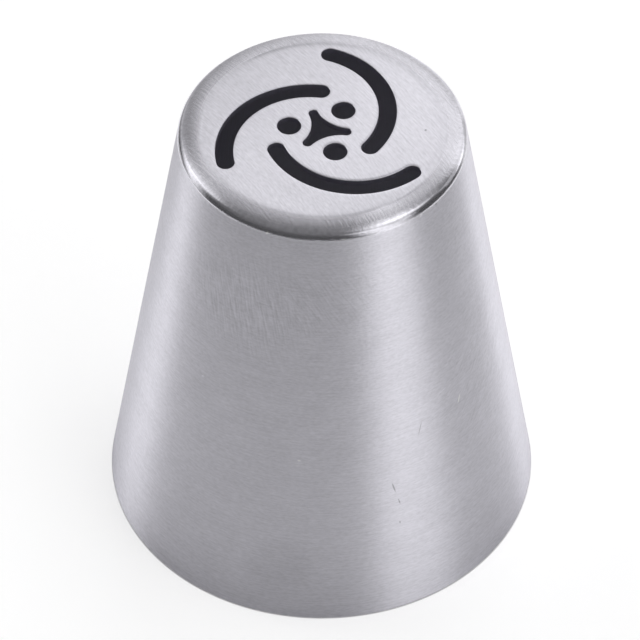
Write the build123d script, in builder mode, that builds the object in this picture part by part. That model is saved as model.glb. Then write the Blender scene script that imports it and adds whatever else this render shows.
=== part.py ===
from build123d import *
import os
from math import atan2, cos, degrees, radians, sin, tan

# A piping nozzle for flower shapes: one cup drawn from stainless sheet, open at the wide end.
# It stands on its open rim, with the outlet face on top. Icing comes in through the rim and leaves
# through seven cut-outs in the face: a star with three arms, a round hole in each hollow of the star,
# and three curved slots that swirl outwards round them.
# Lengths are in millimetres and angles in degrees. The origin is the middle of the rim's plane, +Z is
# up to the face, and +Y points away from the side that is seen.

# Drawn cup, outside
rim_diameter = 34.0
height = 37.5
face_corner_diameter = 21.76  # where the straight wall would meet the plane of the face
crown_radius = 4.5  # the easy bend that starts at the flat of the face
crown_turn = 18.7
corner_radius = 0.6  # the tighter bend that ends in the wall

# Drawn cup, inside
sheet = 0.5
punch_radius = 0.7

# Trimmed rim, tumbled until it is smooth to the hand
rim_outer_break = 0.16
rim_inner_break = 0.08

# Cut-outs, which repeat round the axis
repeats = 3
pattern_turn = -68.0  # where the first round hole is, from +X
edge_break = 0.06  # rounding of every cut-out's outer edge
punch_overrun = 1.0

hole_diameter = 1.82
hole_circle_diameter = 5.12

star_reach = 2.2  # from the axis to the end of each arm
star_tip_radius = 0.37
star_waist_radius = 0.87  # from the axis to the middle of each hollow side

slot_width = 1.36
slot_bend_radius = 6.41  # of the slot's middle line
slot_bend_offset = 2.48  # from the axis to the centre of that bend
slot_bend_turn = 74.0  # direction of that centre, from the first round hole
slot_start_turn = -90.0  # where the middle line starts on its bend, near the star
slot_sweep = 109.6

# Sizes that follow from those above
wall_lean = degrees(atan2((rim_diameter - face_corner_diameter) / 2, height))
wall_across = sheet / cos(radians(wall_lean))  # the wall's thickness, measured level
wall_turn = 90 - wall_lean
corner_turn = wall_turn - crown_turn

shoulder_depth = crown_radius * (1 - cos(radians(crown_turn)))
shoulder_depth += corner_radius * (cos(radians(crown_turn)) - cos(radians(wall_turn)))
shoulder_width = crown_radius * sin(radians(crown_turn))
shoulder_width += corner_radius * (sin(radians(wall_turn)) - sin(radians(crown_turn)))
flat_radius = face_corner_diameter / 2 + shoulder_depth * tan(radians(wall_lean)) - shoulder_width
inside_corner_radius = face_corner_diameter / 2 + sheet * tan(radians(wall_lean)) - wall_across

half_step = 180 / repeats
star_tip_centre = star_reach - star_tip_radius
star_hollow = star_waist_radius - star_tip_radius
star_side_centre = (star_tip_centre**2 - star_hollow**2) / 2
star_side_centre /= star_tip_centre * cos(radians(half_step)) - star_hollow
star_side_radius = star_side_centre - star_waist_radius


def on_circle(radius, start_turn=0):
    """The points that repeat round the axis at a radius, the first one at start_turn."""
    return [place.position for place in PolarLocations(radius, repeats, start_angle=start_turn)]


def toward(start, target, distance):
    """The point that lies a distance from start on the way to target."""
    return start + (target - start).normalized() * distance


# The star, drawn flat: round tips, joined by hollow sides that run into them smoothly
with BuildSketch() as star:
    sides = on_circle(star_side_centre)
    tips = on_circle(star_tip_centre, half_step)
    axis_point = Vector(0, 0)
    with BuildLine():
        for side, tip, next_side in zip(sides, tips, sides[1:] + sides[:1]):
            tip_start = toward(side, tip, star_side_radius)
            tip_end = toward(next_side, tip, star_side_radius)
            ThreePointArc(tip_start, toward(tip, axis_point, -star_tip_radius), tip_end)
        for side, tip, last_tip in zip(sides, tips, tips[-1:] + tips[:-1]):
            side_start = toward(side, last_tip, star_side_radius)
            side_end = toward(side, tip, star_side_radius)
            ThreePointArc(side_start, toward(side, axis_point, star_side_radius), side_end)
    make_face()

# One slot, drawn flat, of the same width all along its bend
with BuildSketch() as slot:
    with BuildLine(mode=Mode.PRIVATE) as middle_line:
        bend_centre = Vector(slot_bend_offset, 0).rotate(Axis.Z, slot_bend_turn)
        CenterArc(bend_centre, slot_bend_radius, slot_start_turn, slot_sweep)
    SlotArc(middle_line.edge(), slot_width)

with BuildPart() as nozzle_shell:
    # Half of the cup's section, turned round the axis
    with BuildSketch(Plane.XZ) as section:
        with BuildLine():
            face_line = Line((0, height), (flat_radius, height))
            crown = JernArc(face_line @ 1, face_line % 1, crown_radius, -crown_turn)
            corner = JernArc(crown @ 1, crown % 1, corner_radius, -corner_turn)
            Polyline(
                corner @ 1,
                (rim_diameter / 2, 0),
                (rim_diameter / 2 - wall_across, 0),
                (inside_corner_radius, height - sheet),
                (0, height - sheet),
                (0, height),
            )
        make_face()
        inside_corner = section.vertices().sort_by_distance((inside_corner_radius, height - sheet))[0]
        fillet(inside_corner, punch_radius)
        rim_edges = section.vertices().group_by(Axis.Y)[0].sort_by(Axis.X)
        fillet(rim_edges[0], rim_inner_break)
        rim_edges = section.vertices().group_by(Axis.Y)[0].sort_by(Axis.X)
        fillet(rim_edges[-1], rim_outer_break)
    revolve(axis=Axis.Z)

    # The cut-outs, punched through the face
    with BuildSketch(Plane.XY.offset(height).rotated((0, 0, pattern_turn))):
        with PolarLocations(hole_circle_diameter / 2, repeats):
            Circle(hole_diameter / 2)
        add(star.sketch)
        with PolarLocations(0, repeats):
            add(slot.sketch)
    extrude(amount=-(sheet + punch_overrun), mode=Mode.SUBTRACT)
    outlet_face = nozzle_shell.faces().sort_by(Axis.Z)[-1]
    fillet(outlet_face.inner_wires().edges(), edge_break)

nozzle_shell.part.label = "nozzle_shell"

os.makedirs("parts", exist_ok=True)
export_step(nozzle_shell.part, "parts/nozzle_shell.step")
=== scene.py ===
from math import atan2, cos, degrees, pi, radians, sin, tan

import bpy
from mathutils import Matrix, Vector, geometry


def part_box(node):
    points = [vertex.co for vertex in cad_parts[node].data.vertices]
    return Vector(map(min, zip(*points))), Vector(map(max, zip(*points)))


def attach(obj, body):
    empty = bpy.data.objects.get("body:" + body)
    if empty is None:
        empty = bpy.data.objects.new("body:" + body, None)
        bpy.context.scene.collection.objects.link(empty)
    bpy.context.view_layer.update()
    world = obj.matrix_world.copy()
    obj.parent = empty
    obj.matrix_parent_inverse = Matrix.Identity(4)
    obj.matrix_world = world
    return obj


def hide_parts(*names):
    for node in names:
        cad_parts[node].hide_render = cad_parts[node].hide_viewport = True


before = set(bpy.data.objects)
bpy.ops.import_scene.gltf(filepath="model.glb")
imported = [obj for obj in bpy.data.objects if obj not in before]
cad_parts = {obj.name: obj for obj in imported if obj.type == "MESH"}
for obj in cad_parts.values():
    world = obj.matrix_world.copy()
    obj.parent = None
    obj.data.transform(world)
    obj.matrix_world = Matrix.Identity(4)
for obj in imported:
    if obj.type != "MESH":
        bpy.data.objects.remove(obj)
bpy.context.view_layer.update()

# A piping nozzle for flower shapes, drawn from stainless sheet and brushed. It stands on its open rim,
# round the +Z axis, with seven outlets in the flat face on top. Lengths are in metres, angles in
# degrees. An azimuth here is 0 towards the camera (-Y) and grows to the right (+X).

MM = 0.001
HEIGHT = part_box("nozzle_shell")[1].z

# The drawn cup, as in the construction
RIM_RADIUS = 17.0 * MM
FACE_CORNER_RADIUS = 10.88 * MM
CROWN_RADIUS = 4.5 * MM
CROWN_TURN = 18.7
CORNER_RADIUS = 0.6 * MM
SHEET = 0.5 * MM
PUNCH_RADIUS = 0.7 * MM
RIM_OUTER_BREAK = 0.16 * MM
RIM_INNER_BREAK = 0.08 * MM

# The outlets in the face
REPEATS = 3
PATTERN_TURN = -68.0
EDGE_BREAK = 0.06 * MM
HOLE_RADIUS = 0.91 * MM
HOLE_CIRCLE_RADIUS = 2.56 * MM
STAR_REACH = 2.2 * MM
STAR_TIP_RADIUS = 0.37 * MM
STAR_WAIST_RADIUS = 0.87 * MM
SLOT_WIDTH = 1.36 * MM
SLOT_BEND_RADIUS = 6.41 * MM
SLOT_BEND_OFFSET = 2.48 * MM
SLOT_BEND_TURN = 74.0
SLOT_START_TURN = -90.0
SLOT_SWEEP = 109.6

# Where the punch drew the sheet in round each outlet
ROLL_WIDTH = 0.2 * MM
ROLL_DEPTH = 0.016 * MM

# How finely the skin is divided
TURN_STEPS = 480
BEND_STEP = 4.0
OUTLINE_STEP = 0.07 * MM
SHORTEST_ARC_STEPS = 6
EDGE_STEPS = 6
FACE_STEP = 0.5 * MM
WALL_BANDS = 24
GUARD = 0.04 * MM  # a narrow ring that keeps the bends apart from the flat face
SHARP_FROM = 40  # the turn between two faces from which their edge is sharp
SAME_POINT = 1e-7  # in millimetres, how near two points of the flat face count as one

# What follows from those sizes
WALL_LEAN = degrees(atan2(RIM_RADIUS - FACE_CORNER_RADIUS, HEIGHT))
WALL_ACROSS = SHEET / cos(radians(WALL_LEAN))
WALL_TURN = 90 - WALL_LEAN


def polar(radius, turn):
    """The point at a radius and a turn from +X."""
    return Vector((radius * cos(radians(turn)), radius * sin(radians(turn))))


def turn_of(vector):
    return degrees(atan2(vector.y, vector.x))


def shares(count):
    """count + 1 numbers, evenly from 0 to 1."""
    return [i / count for i in range(count + 1)]


def bend(centre, radius, start, end):
    """Points along an arc of the section, from the turn start to the turn end."""
    count = max(1, round(abs(end - start) / BEND_STEP))
    return [centre + polar(radius, start + (end - start) * share) for share in shares(count)]


# The section of the cup, as points (distance from the axis, height)


def outer_section():
    """From the edge of the flat face over the shoulder, down the wall and round the rim."""
    shoulder_depth = CROWN_RADIUS * (1 - cos(radians(CROWN_TURN)))
    shoulder_depth += CORNER_RADIUS * (cos(radians(CROWN_TURN)) - cos(radians(WALL_TURN)))
    shoulder_width = CROWN_RADIUS * sin(radians(CROWN_TURN))
    shoulder_width += CORNER_RADIUS * (sin(radians(WALL_TURN)) - sin(radians(CROWN_TURN)))
    flat_radius = FACE_CORNER_RADIUS + shoulder_depth * tan(radians(WALL_LEAN)) - shoulder_width

    crown = bend(Vector((flat_radius, HEIGHT - CROWN_RADIUS)), CROWN_RADIUS, 90, 90 - CROWN_TURN)
    corner_centre = crown[-1] - polar(CORNER_RADIUS, 90 - CROWN_TURN)
    corner = bend(corner_centre, CORNER_RADIUS, 90 - CROWN_TURN, WALL_LEAN)

    outer_break_x = RIM_RADIUS
    outer_break_x -= RIM_OUTER_BREAK * (tan(radians(WALL_LEAN)) + 1 / cos(radians(WALL_LEAN)))
    outer_break = bend(Vector((outer_break_x, RIM_OUTER_BREAK)), RIM_OUTER_BREAK, WALL_LEAN, -90)
    inner_break_x = RIM_RADIUS - WALL_ACROSS
    inner_break_x += RIM_INNER_BREAK * (1 / cos(radians(WALL_LEAN)) - tan(radians(WALL_LEAN)))
    inner_break = bend(Vector((inner_break_x, RIM_INNER_BREAK)), RIM_INNER_BREAK, -90, -180 + WALL_LEAN)

    wall = [corner[-1].lerp(outer_break[0], share) for share in shares(WALL_BANDS)[1:-1]]
    return crown + corner[1:] + wall + outer_break + inner_break


def inner_section(start):
    """From the rim's inside edge up the wall to the underside of the face."""
    top = HEIGHT - SHEET - PUNCH_RADIUS
    across = RIM_RADIUS - WALL_ACROSS - top * tan(radians(WALL_LEAN))
    across -= PUNCH_RADIUS / cos(radians(WALL_LEAN))
    corner = bend(Vector((across, top)), PUNCH_RADIUS, WALL_LEAN, 90)
    wall = [start.lerp(corner[0], share) for share in shares(WALL_BANDS)[1:-1]]
    return wall + corner


# An outline is a list of arcs: centre, radius, start, end, and 1 where the metal is outside the arc or
# -1 where it is inside, so that the same arcs give every loop round an outlet


def hole_outline():
    return [(polar(HOLE_CIRCLE_RADIUS, 0), HOLE_RADIUS, 0, 360, 1)]


def star_outline():
    half_step = 180 / REPEATS
    tip_centre = STAR_REACH - STAR_TIP_RADIUS
    hollow = STAR_WAIST_RADIUS - STAR_TIP_RADIUS
    side_centre = (tip_centre**2 - hollow**2) / 2 / (tip_centre * cos(radians(half_step)) - hollow)
    side_radius = side_centre - STAR_WAIST_RADIUS
    arcs = []
    for i in range(REPEATS):
        side, next_side = (polar(side_centre, 2 * half_step * (i + k)) for k in (0, 1))
        last_tip, tip = (polar(tip_centre, 2 * half_step * (i + k)) for k in (-0.5, 0.5))
        start = turn_of(last_tip - side) % 360
        arcs.append((side, side_radius, start, turn_of(tip - side) % 360, -1))
        start, end = turn_of(side - tip), turn_of(next_side - tip)
        arcs.append((tip, STAR_TIP_RADIUS, start, start + (end - start) % 360, 1))
    return [(centre, radius, start, end - 360 * (side < 0 and end > start), side)
            for centre, radius, start, end, side in arcs]


def slot_outline():
    centre = polar(SLOT_BEND_OFFSET, SLOT_BEND_TURN)
    half = SLOT_WIDTH / 2
    start, end = SLOT_START_TURN, SLOT_START_TURN + SLOT_SWEEP
    return [
        (centre, SLOT_BEND_RADIUS + half, start, end, 1),
        (centre + polar(SLOT_BEND_RADIUS, end), half, end, end + 180, 1),
        (centre, SLOT_BEND_RADIUS - half, end, start, -1),
        (centre + polar(SLOT_BEND_RADIUS, start), half, start + 180, start + 360, 1),
    ]


def loop(arcs, offset, turn):
    """The closed loop at an offset from an outline into the metal, turned round the axis."""
    points = []
    for centre, radius, start, end, side in arcs:
        count = max(SHORTEST_ARC_STEPS, round(radius * abs(radians(end - start)) / OUTLINE_STEP))
        points += [
            centre + polar(radius + side * offset, start + (end - start) * share)
            for share in shares(count)[:-1]
        ]
    return [Matrix.Rotation(radians(turn), 2) @ point for point in points]


def outlet_edge():
    """Pairs (offset into the metal, height) from the face into an outlet and down to its lower edge."""
    roll = []
    rounding = []
    top = HEIGHT - ROLL_DEPTH - EDGE_BREAK
    for share in shares(EDGE_STEPS):
        roll.append((EDGE_BREAK + ROLL_WIDTH * (1 - share), HEIGHT - ROLL_DEPTH * share**2))
        quarter = pi / 2 * share
        rounding.append((EDGE_BREAK * (1 - sin(quarter)), top + EDGE_BREAK * cos(quarter)))
    return [(EDGE_BREAK + ROLL_WIDTH + GUARD, HEIGHT)] + roll + rounding[1:] + [(0, HEIGHT - SHEET)]


class Skin:
    """The points and faces of one mesh, each face with the finish that it has."""

    def __init__(self):
        self.points = []
        self.faces = []
        self.finishes = []

    def ring(self, flat_points, height):
        """Adds points at one height and gives their numbers."""
        first = len(self.points)
        self.points += [(point.x, point.y, height) for point in flat_points]
        return list(range(first, len(self.points)))

    def turned(self, place):
        """Adds the ring that a point of the section makes round the axis."""
        return self.ring([polar(place.x, 360 * share) for share in shares(TURN_STEPS)[:-1]], place.y)

    def band(self, upper, lower, finish):
        """Joins two rings with four-sided faces."""
        for i in range(len(upper)):
            self.faces.append((upper[i - 1], lower[i - 1], lower[i], upper[i]))
            self.finishes.append(finish)

    def plate(self, rim, openings, extra, finish, facing_up):
        """Fills the flat space between a rim and the rings of its openings."""
        rings = [rim] + openings
        numbers = [number for ring in rings for number in ring] + extra
        place = {number: i for i, number in enumerate(numbers)}
        loops = [[place[number] for number in ring] for ring in rings]
        edges = [(ring[i - 1], ring[i]) for ring in loops for i in range(len(ring))]
        flat = [Vector(self.points[number][:2]) / MM for number in numbers]
        keep_inside = 1
        found = geometry.delaunay_2d_cdt(flat, edges, loops, keep_inside, SAME_POINT)
        corners, faces, corner_sources, face_sources = found[0], found[2], found[3], found[5]
        assert len(corners) == len(flat)
        for face, sources in zip(faces, face_sources):
            if max(sources) == 0:
                face = [numbers[corner_sources[corner][0]] for corner in face]
                self.faces.append(face if facing_up else face[::-1])
                self.finishes.append(finish)

    def piece(self, name, materials):
        mesh = bpy.data.meshes.new(name)
        mesh.from_pydata(self.points, [], self.faces)
        mesh.polygons.foreach_set("material_index", self.finishes)
        for material in materials:
            mesh.materials.append(material)
        mesh.shade_smooth()
        mesh.set_sharp_from_angle(angle=radians(SHARP_FROM))
        mesh.validate()
        made = bpy.data.objects.new(name, mesh)
        bpy.context.scene.collection.objects.link(made)
        return made


OUTSIDE, INSIDE, CUT = range(3)


def face_points(skin, radius):
    """Adds points all over the flat face, so that its shading is even."""
    count = int(radius / FACE_STEP)
    steps = range(-count, count + 1)
    grid = [Vector((x * FACE_STEP, y * FACE_STEP)) for x in steps for y in steps]
    return skin.ring([point for point in grid if point.length < radius - FACE_STEP / 2], HEIGHT)


def nozzle_shell(materials):
    skin = Skin()
    outer = outer_section()
    inner = inner_section(outer[-1])
    guard = skin.turned(Vector((outer[0].x - GUARD, HEIGHT)))
    rings = [guard] + [skin.turned(place) for place in outer + inner]
    for i, (upper, lower) in enumerate(zip(rings, rings[1:])):
        skin.band(upper, lower, OUTSIDE if i < len(outer) else INSIDE)

    outlines = [(star_outline(), PATTERN_TURN)]
    for i in range(REPEATS):
        outlines.append((hole_outline(), PATTERN_TURN + 360 * i / REPEATS))
        outlines.append((slot_outline(), PATTERN_TURN + 360 * i / REPEATS))
    openings = []
    for arcs, turn in outlines:
        edge = outlet_edge()
        loops = [skin.ring(loop(arcs, offset, turn), height) for offset, height in edge]
        for i, (upper, lower) in enumerate(zip(loops, loops[1:])):
            skin.band(upper, lower, CUT if i == len(loops) - 2 else OUTSIDE)
        openings.append((loops[0], loops[-1]))
    face = face_points(skin, outer[0].x - GUARD)
    skin.plate(guard, [upper for upper, lower in openings], face, OUTSIDE, True)
    skin.plate(rings[-1], [lower for upper, lower in openings], [], INSIDE, False)
    return skin.piece("brushed_shell", materials)


# The first of the two inputs of a Mix node, and its output, which share their names with others
MIX_SOCKETS = {"VECTOR": (4, 1), "RGBA": (6, 2)}


class Nodes:
    """A short way to add and join shader nodes."""

    def __init__(self, tree):
        self.tree = tree
        tree.nodes.clear()

    def add(self, kind, inputs=(), **settings):
        node = self.tree.nodes.new("ShaderNode" + kind)
        for name, value in settings.items():
            setattr(node, name, value)
        for name, value in dict(inputs).items():
            self.give(node.inputs[name], value)
        return node

    def give(self, socket, value):
        if isinstance(value, bpy.types.NodeSocket):
            self.tree.links.new(value, socket)
        else:
            socket.default_value = value

    def math(self, operation, *values):
        node = self.add("Math", operation=operation)
        for socket, value in zip(node.inputs, values):
            self.give(socket, value)
        return node.outputs[0]

    def vector(self, operation, *values):
        node = self.add("VectorMath", operation=operation)
        for socket, value in zip(node.inputs, values):
            self.give(socket, value)
        return node.outputs["Value" if operation in ("LENGTH", "DISTANCE", "DOT_PRODUCT") else "Vector"]

    def scaled(self, vector, factor):
        node = self.add("VectorMath", {"Scale": factor}, operation="SCALE")
        self.give(node.inputs[0], vector)
        return node.outputs["Vector"]

    def mixed(self, factor, first, second, kind="VECTOR"):
        """The first vector or colour where the factor is 0, and the second where it is 1."""
        node = self.add("Mix", data_type=kind)
        self.give(node.inputs["Factor"], factor)
        place, output = MIX_SOCKETS[kind]
        self.give(node.inputs[place], first)
        self.give(node.inputs[place + 1], second)
        return node.outputs[output]

    def joined(self, **parts):
        """A vector from its parts X, Y and Z, with 0 for one that isn't given."""
        return self.add("CombineXYZ", parts).outputs["Vector"]

    def blend(self, value, low, high, at_low, at_high):
        """at_low below low, at_high above high, and a smooth step between them."""
        sockets = {"Value": value, "From Min": low, "From Max": high, "To Min": at_low, "To Max": at_high}
        return self.add("MapRange", sockets, interpolation_type="SMOOTHSTEP").outputs["Result"]

    def noise(self, vector, scale, detail=2.0, roughness=0.5):
        sockets = {"Vector": vector, "Scale": scale, "Detail": detail, "Roughness": roughness}
        return self.add("TexNoise", sockets, noise_dimensions="3D").outputs["Fac"]


def new_material(name):
    material = bpy.data.materials.new(name)
    material.use_nodes = True
    return material, Nodes(material.node_tree)


STEEL = (0.7, 0.69, 0.744)
FACE_PAINTED_LIGHT = 0.23  # the top face's steel is set this much lighter than the shoulder's, which is painted light
# how much lighter the wall's steel is set than the shoulder's, which is painted light too
WALL_PAINTED_LIGHT = 0.12
FACE_ROUGHNESS = 0.31
SHOULDER_ROUGHNESS = 0.13
WALL_ROUGHNESS = 0.42

# Where the face's finish turns into the shoulder's, as distances from the axis
# TONE_CHANGE is where the face's painted light fades into the shoulder
TONE_CHANGE = (8.5 * MM, 9.9 * MM)
TURN_CHANGE = (8.9 * MM, 9.7 * MM)
GRAIN_CHANGE = (9.0 * MM, 10.2 * MM)
ROUGHNESS_CHANGE = (9.0 * MM, 10.7 * MM)
DOME_CHANGE = (9.2 * MM, 10.4 * MM)
WALL_LINES_START = 10.3 * MM

# Where it turns from the wall's finish into the shoulder's, as heights
WALL_CHANGE = (HEIGHT - 0.88 * MM, HEIGHT - 0.74 * MM)

# How far the brushed face leans outwards at its edge, in degrees, and where that edge is
FACE_DOME = 4.5
FACE_EDGE = 9.2 * MM

# How much the top of the wall leans upwards, and the heights at which that starts and ends
CARRIED_BEND = 0.16
CARRIED_START = (HEIGHT - 0.9 * MM, HEIGHT - 0.76 * MM)
CARRIED_END = (HEIGHT - 0.58 * MM, HEIGHT - 0.48 * MM)

# The grain: how fine each kind of mark is along the brush lines (twice) and across them, per
# millimetre, and how much it changes the metal on the face and off it
DASHES = (2.2, 2.2, 7.5)
DASH_CONTRAST = (0.5, 0.34)
LINES = (0.3, 0.3, 6.0)
LINE_CONTRAST = (0.36, 0.2)
CLOUDS = (0.3, 0.3, 0.45)
CLOUD_CONTRAST = 0.1

# How deep the grain is, and how strongly it shows on the face, the shoulder and the wall
GRAIN_DEPTH = 0.02 * MM
FACE_RELIEF = 0.2
SHOULDER_RELIEF = 0.3
WALL_RELIEF = 0.2

# The face was brushed by a turning wheel, so its lines are arcs round a far centre
FACE_BRUSH_CENTRE = (-64 * MM, -45 * MM, 0)
FACE_BRUSH_RADIUS = 78.0  # in millimetres, about the same all over the face

# Where the wall was rubbed: azimuth and height of the patch, its half width and half height, the
# direction of its lines from level, and how strong they are
SCUFFS = [
    (-28, 29.5, 6.5, 5.5, 99, 0.62),
    (2, 31.0, 5.0, 4.0, 122, 0.42),
    (64, 19.0, 6.5, 10.0, 48, 0.36),
]

# Nicks in the wall and specks where it starts: azimuth, height, half length, half width, the turn of
# the long side from level, and how much darker or lighter the metal is. Most places were picked by eye
# in the photograph and turned into azimuth and height by another program.
# The lighter entries are painted glints where dents in the wall and pits at its top catch the light; the
# darker ones are marks, and the wide one low down at -12 degrees is a stain.
NICKS_AND_GLINTS = [
    (48.5, 17.5, 0.38, 0.08, 72, 0.5),
    (42.0, 19.4, 0.45, 0.05, 12, 0.22),
    (21.9, 12.2, 0.55, 0.07, 107, -0.45),
    (23.3, 10.7, 0.32, 0.06, 107, -0.4),
    (32.1, 17.0, 0.62, 0.05, 76, -0.32),
    (23.1, 8.6, 0.16, 0.07, 100, -0.35),
    (-6.9, 15.8, 0.14, 0.09, 0, 0.28),
    (-42.1, 20.8, 0.16, 0.09, 30, 0.2),
    (-12.0, 4.7, 3.2, 2.6, 60, -0.08),
    (-21.7, 36.8, 0.2, 0.1, 40, 0.5),
    (8.5, 36.8, 0.2, 0.09, 0, 0.6),
    (42.0, 36.6, 0.16, 0.09, 20, 0.3),
    (50.5, 36.6, 0.12, 0.08, 0, -0.4),
]
SCUFF_LINE = (1.7, 0.17)  # the length and width that the rubbed lines are drawn at
FACE_SPECK = (7.8, -0.1, 0.09)  # a dark speck on the face: x, y and radius, in millimetres
SPECK_DARKER = -0.6

# Where each of them starts to fade and has faded, in shares of its half size
SCUFF_FADE = (0.1, 1.2)
NICK_AND_GLINT_FADE = (0.5, 1.2)
SPECK_FADE = (0.5, 1.4)


def place_parts(nodes):
    """The point on the surface without its height, its distance from the axis and its height."""
    point = nodes.add("TexCoord").outputs["Object"]
    parts = nodes.add("SeparateXYZ", {"Vector": point})
    level = nodes.joined(X=parts.outputs["X"], Y=parts.outputs["Y"])
    return level, nodes.vector("LENGTH", level), parts.outputs["Z"]


def wall_place(nodes, level, reach, height):
    """Where a point is on the unrolled wall, in millimetres: round it from the front, and up it."""
    parts = nodes.add("SeparateXYZ", {"Vector": level}).outputs
    azimuth = nodes.math("ARCTAN2", parts["X"], nodes.math("MULTIPLY", parts["Y"], -1.0))
    around = nodes.math("MULTIPLY", azimuth, nodes.math("DIVIDE", reach, MM))
    return nodes.joined(X=around, Y=nodes.math("DIVIDE", height, MM))


def from_spot(nodes, place, azimuth, height, turn, half_length, half_width):
    """A place measured from a spot on the wall, along and across it, in shares of its half sizes."""
    reach = RIM_RADIUS / MM - height * tan(radians(WALL_LEAN))
    spot = (radians(azimuth) * reach, height, 0)
    along = (cos(radians(turn)) / half_length, sin(radians(turn)) / half_length, 0)
    across = (-sin(radians(turn)) / half_width, cos(radians(turn)) / half_width, 0)
    offset = nodes.vector("SUBTRACT", place, spot)
    along, across = (nodes.vector("DOT_PRODUCT", offset, side) for side in (along, across))
    return nodes.joined(X=along, Y=across)


def scuffs(nodes, place):
    """Patches of short lines that rubbing left on the wall."""
    total = 0.0
    for azimuth, height, half_width, half_height, turn, strength in SCUFFS:
        spot = from_spot(nodes, place, azimuth, height, 0, half_width, half_height)
        patch = nodes.blend(nodes.vector("LENGTH", spot), *SCUFF_FADE, strength, 0.0)
        lines = nodes.noise(from_spot(nodes, place, azimuth, height, turn, *SCUFF_LINE), 1.0, 1.0)
        total = nodes.math("MULTIPLY_ADD", nodes.math("SUBTRACT", lines, 0.5), patch, total)
    return total


def nicks_and_glints(nodes, place, level):
    """How much the marks on the wall, with painted glints on the lighter ones, and the speck on the face
    change the metal.
    """
    total = 0.0
    for azimuth, height, half_length, half_width, turn, change in NICKS_AND_GLINTS:
        spot = from_spot(nodes, place, azimuth, height, turn, half_length, half_width)
        nick_and_glint = nodes.blend(nodes.vector("LENGTH", spot), *NICK_AND_GLINT_FADE, change, 0.0)
        total = nodes.math("ADD", nick_and_glint, total)
    x, y, radius = (length * MM for length in FACE_SPECK)
    start, end = (share * radius for share in SPECK_FADE)
    speck = nodes.blend(nodes.vector("DISTANCE", level, (x, y, 0)), start, end, SPECK_DARKER, 0.0)
    return nodes.math("ADD", speck, total)


def grain_place(nodes, level, reach, height, across_face):
    """A space in millimetres in which Z runs across the brush lines and X and Y run along them."""
    turn = nodes.add("SeparateXYZ", {"Vector": across_face}).outputs["Y"]
    distance = nodes.vector("DISTANCE", level, FACE_BRUSH_CENTRE)
    on_face = nodes.joined(
        X=nodes.math("MULTIPLY", turn, FACE_BRUSH_RADIUS),
        Z=nodes.math("DIVIDE", distance, MM),
    )
    round_wall = nodes.scaled(nodes.vector("NORMALIZE", level), RIM_RADIUS / MM)
    on_wall = nodes.vector("ADD", round_wall, nodes.joined(Z=nodes.math("DIVIDE", height, MM)))
    return nodes.mixed(nodes.math("GREATER_THAN", reach, WALL_LINES_START), on_face, on_wall)


def centred(nodes, vector, scale, detail):
    """Noise round 0, from about -0.3 to 0.3."""
    return nodes.math("SUBTRACT", nodes.noise(nodes.vector("MULTIPLY", vector, scale), 1.0, detail), 0.5)


def doubled(nodes, vector):
    """A level unit vector at twice its angle from +X, which is the same for both ways along a line.

    Adding (1, 0, 0) to such a vector halves its angle again.
    """
    parts = nodes.add("SeparateXYZ", {"Vector": vector}).outputs
    squares = [nodes.math("MULTIPLY", parts[axis], parts[axis]) for axis in "XY"]
    product = nodes.math("MULTIPLY", parts["X"], parts["Y"])
    return nodes.joined(X=nodes.math("SUBTRACT", *squares), Y=nodes.math("ADD", product, product))


def brushed_grain(nodes, place, off_face):
    """How the grain changes the metal, and its relief."""
    dashes = centred(nodes, place, DASHES, 2.0)
    lines = centred(nodes, place, LINES, 2.0)
    clouds = centred(nodes, place, CLOUDS, 1.0)
    tone = 0.0
    for marks, contrast in ((dashes, DASH_CONTRAST), (lines, LINE_CONTRAST)):
        tone = nodes.math("MULTIPLY_ADD", marks, nodes.blend(off_face, 0.0, 1.0, *contrast), tone)
    return nodes.math("MULTIPLY_ADD", clouds, CLOUD_CONTRAST, tone), nodes.math("ADD", dashes, lines)


def polished_normal(nodes, level, reach, height):
    """The face is a very flat dome, and polishing carried the shoulder's bend a little onto the wall."""
    dome = nodes.blend(reach, *DOME_CHANGE, tan(radians(FACE_DOME)) / FACE_EDGE, 0.0)
    normal = nodes.vector("ADD", nodes.add("NewGeometry").outputs["Normal"], nodes.scaled(level, dome))
    carried = nodes.blend(height, *CARRIED_START, 0.0, CARRIED_BEND)
    carried = nodes.math("MULTIPLY", carried, nodes.blend(height, *CARRIED_END, 1.0, 0.0))
    return nodes.vector("NORMALIZE", nodes.vector("ADD", normal, nodes.joined(Z=carried)))


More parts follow.
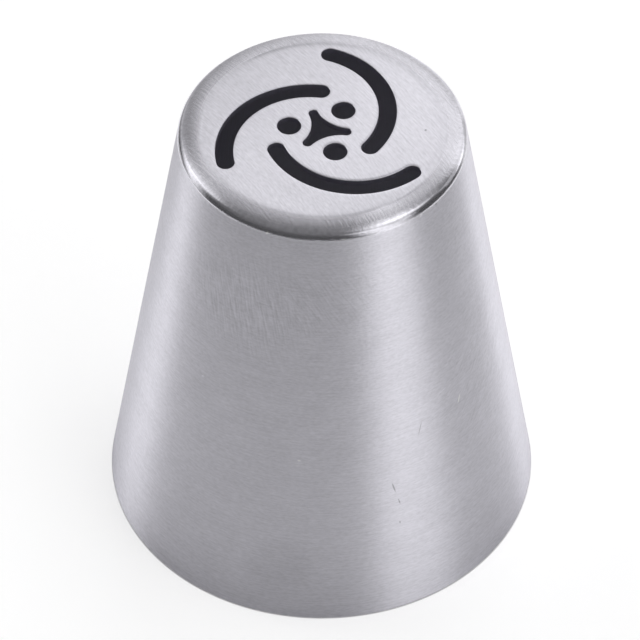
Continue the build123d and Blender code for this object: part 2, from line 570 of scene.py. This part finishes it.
def brushed_steel():
    """Fine lines over the face and round the wall, with a smoother shoulder between them."""
    material, nodes = new_material("brushed_steel")
    level, reach, height = place_parts(nodes)
    off_face = nodes.blend(reach, *GRAIN_CHANGE, 0.0, 1.0)
    on_wall = nodes.blend(height, *WALL_CHANGE, 1.0, 0.0)

    # Highlights spread along the tangent, which lies across the brush lines
    across_face = nodes.vector("NORMALIZE", nodes.vector("SUBTRACT", level, FACE_BRUSH_CENTRE))
    across_wall = nodes.vector("NORMALIZE", level)
    turning = nodes.blend(reach, *TURN_CHANGE, 0.0, 1.0)
    both = nodes.mixed(turning, doubled(nodes, across_face), doubled(nodes, across_wall))
    tangent = nodes.vector("ADD", nodes.vector("NORMALIZE", both), (1, 0, 0))

    grain, relief = brushed_grain(nodes, grain_place(nodes, level, reach, height, across_face), off_face)
    unrolled = wall_place(nodes, level, reach, height)
    # The face and the wall are set lighter than the shoulder: painted light on one steel. The grain and
    # the scuffs are the metal's own tone.
    tone = nodes.math("ADD", nodes.blend(reach, *TONE_CHANGE, 1.0 + FACE_PAINTED_LIGHT, 1.0), grain)
    tone = nodes.math("MULTIPLY_ADD", on_wall, WALL_PAINTED_LIGHT, tone)
    tone = nodes.math("MULTIPLY_ADD", scuffs(nodes, unrolled), on_wall, tone)
    tone = nodes.math("ADD", tone, nicks_and_glints(nodes, unrolled, level))

    roughness = nodes.blend(reach, *ROUGHNESS_CHANGE, FACE_ROUGHNESS, SHOULDER_ROUGHNESS)
    roughness = nodes.math("MULTIPLY_ADD", on_wall, WALL_ROUGHNESS - SHOULDER_ROUGHNESS, roughness)

    strength = nodes.blend(off_face, 0.0, 1.0, FACE_RELIEF, SHOULDER_RELIEF)
    strength = nodes.math("MULTIPLY_ADD", on_wall, WALL_RELIEF - SHOULDER_RELIEF, strength)
    height_map = {"Height": relief, "Strength": strength, "Distance": GRAIN_DEPTH}
    bump = nodes.add("Bump", {**height_map, "Normal": polished_normal(nodes, level, reach, height)})
    shader = nodes.add("BsdfPrincipled", {
        "Base Color": nodes.scaled(STEEL, tone),
        "Metallic": 1.0,
        "Roughness": roughness,
        "Anisotropic": 1.0,
        "Tangent": tangent,
        "Normal": bump.outputs["Normal"],
    })
    nodes.add("OutputMaterial", {"Surface": shader.outputs["BSDF"]})
    return material


# Steel that was never polished: its tint and its darkest and lightest shade, against the outside, how
# fine its marks are round the axis, how strong their relief is, and how far they change its roughness
DRAWN_TINT = (1.0, 0.99, 1.06)
DRAWN_SHADES = (0.7, 0.95)
DRAWN_MARKS = (90.0, 90.0, 0)
DRAWN_RELIEF = 0.2
ROUGHNESS_SPREAD = 0.05
INSIDE_ROUGHNESS = 0.4
CUT_ROUGHNESS = 0.47


def drawn_steel(name, roughness):
    """Steel as the press left it: duller, with faint marks along the draw."""
    material, nodes = new_material(name)
    level = place_parts(nodes)[0]
    around = nodes.vector("MULTIPLY", nodes.vector("NORMALIZE", level), DRAWN_MARKS)
    marks = nodes.noise(around, 1.0, 3.0)
    dark, light = ([shade * c * t for c, t in zip(STEEL, DRAWN_TINT)] + [1] for shade in DRAWN_SHADES)
    bump = nodes.add("Bump", {"Height": marks, "Strength": DRAWN_RELIEF, "Distance": GRAIN_DEPTH})
    smooth, rough = roughness - ROUGHNESS_SPREAD, roughness + ROUGHNESS_SPREAD
    shader = nodes.add("BsdfPrincipled", {
        "Base Color": nodes.mixed(marks, dark, light, "RGBA"),
        "Metallic": 1.0,
        "Roughness": nodes.blend(marks, 0.3, 0.7, smooth, rough),
        "Normal": bump.outputs["Normal"],
    })
    nodes.add("OutputMaterial", {"Surface": shader.outputs["BSDF"]})
    return material


# The studio

# Flat soft boxes round the object, each a rectangle that faces it. Most of these numbers began as the
# output of another program: all rows but those at -132, 63, 117 and 147 degrees come from a
# least-squares fit to how bright the metal is in the photograph, changed in part by hand afterwards.
SOFTBOXES = [
    # azimuth, elevation, lean, half its width, half its height, soft edge, strength
    (-112, 24, 22, 10, 34, 12, 1.2),
    (-132, 52, 0, 5, 6, 4, 0.26),
    (44, 9, 12, 14, 37, 11, 1.16),
    (63, 26, 0, 5, 13, 5, 0.7),
    (80, 61, 29, 19, 12, 11, 1.4),
    (117, 70, 0, 8, 6, 4, 0.65),
    (142, 0, 28, 26, 27, 3, 0.54),
    (147, 0, 0, 4, 16, 3, 0.35),
    (129, 26, -34, 7, 22, 7, 0.85),
    (174, -6, -4, 13, 55, 20, 0.84),
    (162, 41, 8, 14, 11, 5, 0.7),
    (-177, 37, -26, 13, 5, 5, 0.22),
    (173, 58, 9, 17, 6, 5, 0.45),
    (113, 24, -8, 13, 17, 4, 0.38),
    (-148, 12, -26, 12, 42, 15, 0.5),
]
DARK_ROOM = 0.085
CEILING = 0.22
CEILING_FROM = 80.0  # the elevation from which the room is as bright as that


def softbox(nodes, direction, azimuth, elevation, lean, half_width, half_height, soft):
    """1 in the directions of a rectangle, fading to 0 over its soft edge."""
    turn, rise, lean = radians(azimuth), radians(elevation), radians(lean)
    middle = Vector((sin(turn) * cos(rise), -cos(turn) * cos(rise), sin(rise)))
    level = Vector((cos(turn), sin(turn), 0))
    upward = middle.cross(level)
    right = cos(lean) * level + sin(lean) * upward
    upward = cos(lean) * upward - sin(lean) * level
    shape = 1.0
    for side, half in ((right, half_width), (upward, half_height)):
        parts = [nodes.vector("DOT_PRODUCT", direction, tuple(axis)) for axis in (side, middle)]
        angle = nodes.math("ABSOLUTE", nodes.math("DEGREES", nodes.math("ARCTAN2", *parts)))
        shape = nodes.math("MULTIPLY", shape, nodes.blend(angle, half - soft, half + soft, 1.0, 0.0))
    return shape


def studio():
    """A dark room with soft boxes: white where a camera looks past the floor."""
    world = bpy.data.worlds.new("studio")
    bpy.context.scene.world = world
    world.use_nodes = True
    nodes = Nodes(world.node_tree)
    direction = nodes.add("TexCoord").outputs["Generated"]
    upward = nodes.add("SeparateXYZ", {"Vector": direction}).outputs["Z"]
    elevation = nodes.math("DEGREES", nodes.math("ARCSINE", upward))
    light = nodes.blend(elevation, 0.0, CEILING_FROM, DARK_ROOM, CEILING)
    for *place, strength in SOFTBOXES:
        light = nodes.math("MULTIPLY_ADD", softbox(nodes, direction, *place), strength, light)
    seen = nodes.add("LightPath").outputs["Is Camera Ray"]
    strength = nodes.math("MAXIMUM", light, seen)
    background = nodes.add("Background", {"Color": (1, 1, 1, 1), "Strength": strength})
    nodes.add("OutputWorld", {"Surface": background.outputs["Background"]})


FLOOR_RADIUS = 0.165
FLOOR_COLOUR = (0.9, 0.9, 0.9, 1)
FLOOR_LIFT = 0.55  # how much the floor glows, where a camera or a mirrored ray sees it
PAINTED_INSIDE_LIGHT = 0.19  # painted light: the floor under the cup glows at this share of that, which lightens the inside of the cup
NEAR_GLOW_UNDER_PAINTED_SHADE = 0.35  # painted shade beside the rim: the share of that glow that the metal mirrors there, and how far out the shade reaches
PAINTED_SHADE_REACH = 2.0 * RIM_RADIUS


def floor():
    """A pale floor that takes the object's shadow and can be looked through from below."""
    bpy.ops.mesh.primitive_circle_add(vertices=64, radius=FLOOR_RADIUS, fill_type="NGON")
    made = bpy.context.object
    made.name = "floor"
    material, nodes = new_material("pale_floor")
    rays = nodes.add("LightPath").outputs
    reach = nodes.vector("LENGTH", nodes.add("TexCoord").outputs["Object"])
    outside = nodes.math("GREATER_THAN", reach, RIM_RADIUS)
    mirrored = nodes.math("MAXIMUM", rays["Is Glossy Ray"], rays["Is Transmission Ray"])
    # Painted shade: the metal mirrors the floor's glow dimmer beside the rim.
    mirrored = nodes.math("MULTIPLY", mirrored, nodes.blend(reach, RIM_RADIUS, PAINTED_SHADE_REACH, NEAR_GLOW_UNDER_PAINTED_SHADE, 1.0))
    seen = nodes.math("MAXIMUM", rays["Is Camera Ray"], mirrored)
    # Painted light: under the cup the floor still glows a little, to lighten the inside.
    seen = nodes.math("MULTIPLY", seen, nodes.math("MAXIMUM", outside, PAINTED_INSIDE_LIGHT))
    lift = nodes.math("MULTIPLY", seen, FLOOR_LIFT)
    matt = nodes.add("BsdfDiffuse", {"Color": FLOOR_COLOUR}).outputs["BSDF"]
    glow = nodes.add("Emission", {"Color": (1, 1, 1, 1), "Strength": lift}).outputs["Emission"]
    upper = nodes.add("AddShader")
    nodes.give(upper.inputs[0], matt)
    nodes.give(upper.inputs[1], glow)
    clear = nodes.add("BsdfTransparent").outputs["BSDF"]
    sides = nodes.add("MixShader", {"Fac": nodes.add("NewGeometry").outputs["Backfacing"]})
    nodes.give(sides.inputs[1], upper.outputs["Shader"])
    nodes.give(sides.inputs[2], clear)
    nodes.add("OutputMaterial", {"Surface": sides.outputs["Shader"]})
    made.data.materials.append(material)


# The camera of the photograph, fitted to the object's edges
FRAME_PIXELS = 640
FOCAL_PIXELS = 5000
SENSOR_WIDTH = 36.0
CAMERA_ELEVATION = 47.14
CAMERA_ROLL = 0.14
FACE_CENTRE_PIXEL = (322.5, 128.9)
FACE_CENTRE_DEPTH = 378 * MM


def camera():
    data = bpy.data.cameras.new("camera")
    data.sensor_width = SENSOR_WIDTH
    data.lens = FOCAL_PIXELS / FRAME_PIXELS * SENSOR_WIDTH
    data.clip_end = 10.0
    made = bpy.data.objects.new("camera", data)
    bpy.context.scene.collection.objects.link(made)
    rise, roll = radians(CAMERA_ELEVATION), radians(CAMERA_ROLL)
    forward = Vector((0, cos(rise), -sin(rise)))
    level, down = Vector((1, 0, 0)), Vector((0, -sin(rise), -cos(rise)))
    right = cos(roll) * level - sin(roll) * down
    down = sin(roll) * level + cos(roll) * down
    across, below = ((pixel - FRAME_PIXELS / 2) / FOCAL_PIXELS for pixel in FACE_CENTRE_PIXEL)
    place = Vector((0, 0, HEIGHT)) - FACE_CENTRE_DEPTH * (across * right + below * down + forward)
    made.matrix_world = Matrix.Translation(place) @ Matrix((right, -down, -forward)).transposed().to_4x4()
    bpy.context.scene.camera = made


inside_steel = drawn_steel("drawn_steel", INSIDE_ROUGHNESS)
shell = nozzle_shell([brushed_steel(), inside_steel, drawn_steel("punched_steel", CUT_ROUGHNESS)])
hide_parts("nozzle_shell")
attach(shell, "root")

studio()
floor()
camera()
bpy.context.scene.view_settings.view_transform = "Standard"
